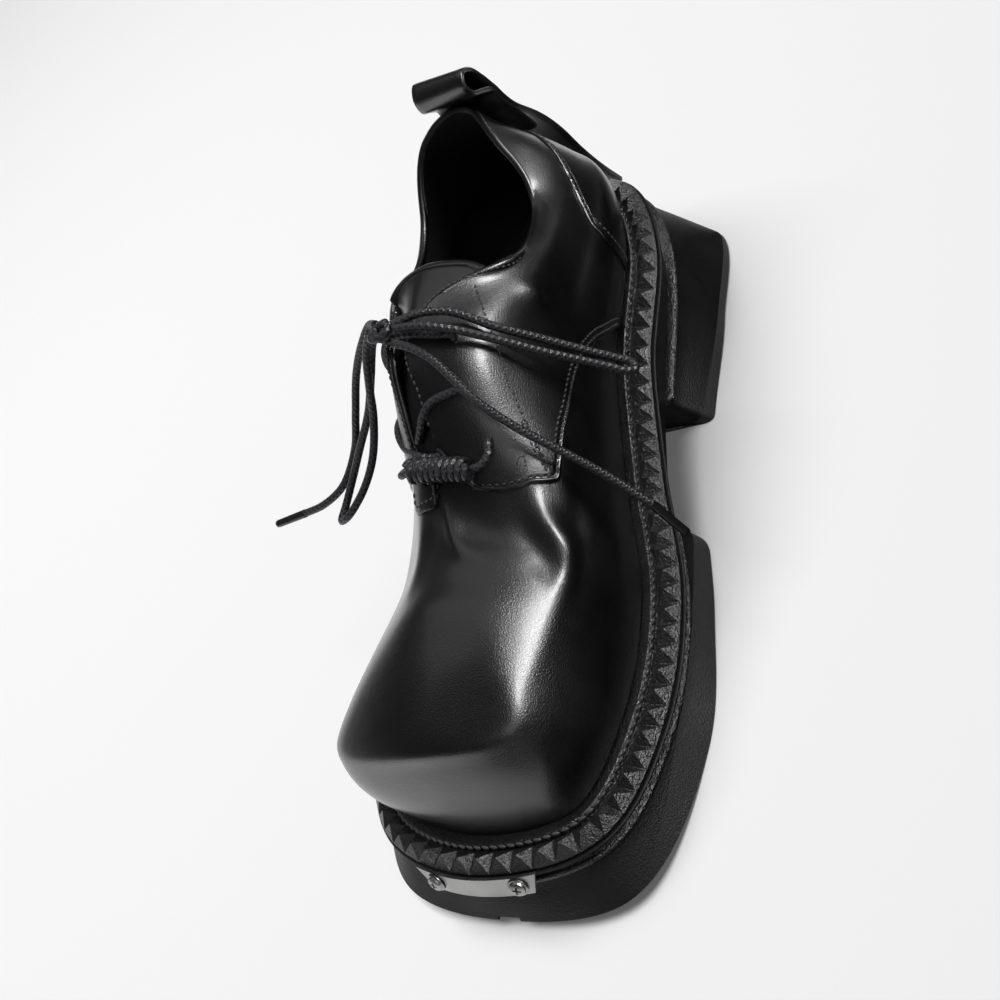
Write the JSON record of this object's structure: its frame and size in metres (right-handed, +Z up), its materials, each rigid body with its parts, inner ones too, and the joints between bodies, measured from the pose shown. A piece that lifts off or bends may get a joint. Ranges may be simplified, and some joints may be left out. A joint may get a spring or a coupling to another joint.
{
  "type": "derby shoe",
  "caption": "Chunky square-toed black leather derby shoe for the right foot, with a studded welt, a block heel, a laced bow and a tall pull loop.",
  "frame": {"origin": "middle of the shoe's box on the floor that it stands on, measured without the free laces", "axes": "+Z up, the toe toward -Y, the big toe side toward +X"},
  "size_m": [0.1717, 0.318, 0.1437],
  "materials": {
    "upper_leather": "polished black leather, fine grain",
    "lining": "soft black lining",
    "sole_rubber": "satin black rubber",
    "welt_rubber": "black rubber with raised studs and stitches",
    "waxed_cord": "black waxed round braid",
    "aglet": "smooth black plastic",
    "steel": "brushed and bare"
  },
  "bodies": {
    "root": {"outsole": "sole_rubber", "heel": "sole_rubber", "midsole": "sole_rubber", "welt": "welt_rubber", "insole": "lining", "upper": "upper_leather", "tongue": "upper_leather", "heel_counter": "upper_leather", "pull_loop": "upper_leather", "toe_plate": "steel", "screw_lateral": "steel", "screw_medial": "steel", "lace_coil": "waxed_cord", "lace_cross": "waxed_cord", "lace_top": "waxed_cord", "lace_knot": "waxed_cord", "lace_loop_medial": "waxed_cord", "lace_end_medial": "waxed_cord", "lace_loop_lateral": "waxed_cord", "lace_end_lateral": "waxed_cord", "aglet_medial": "aglet", "aglet_lateral": "aglet"}
  },
  "joints": []
}
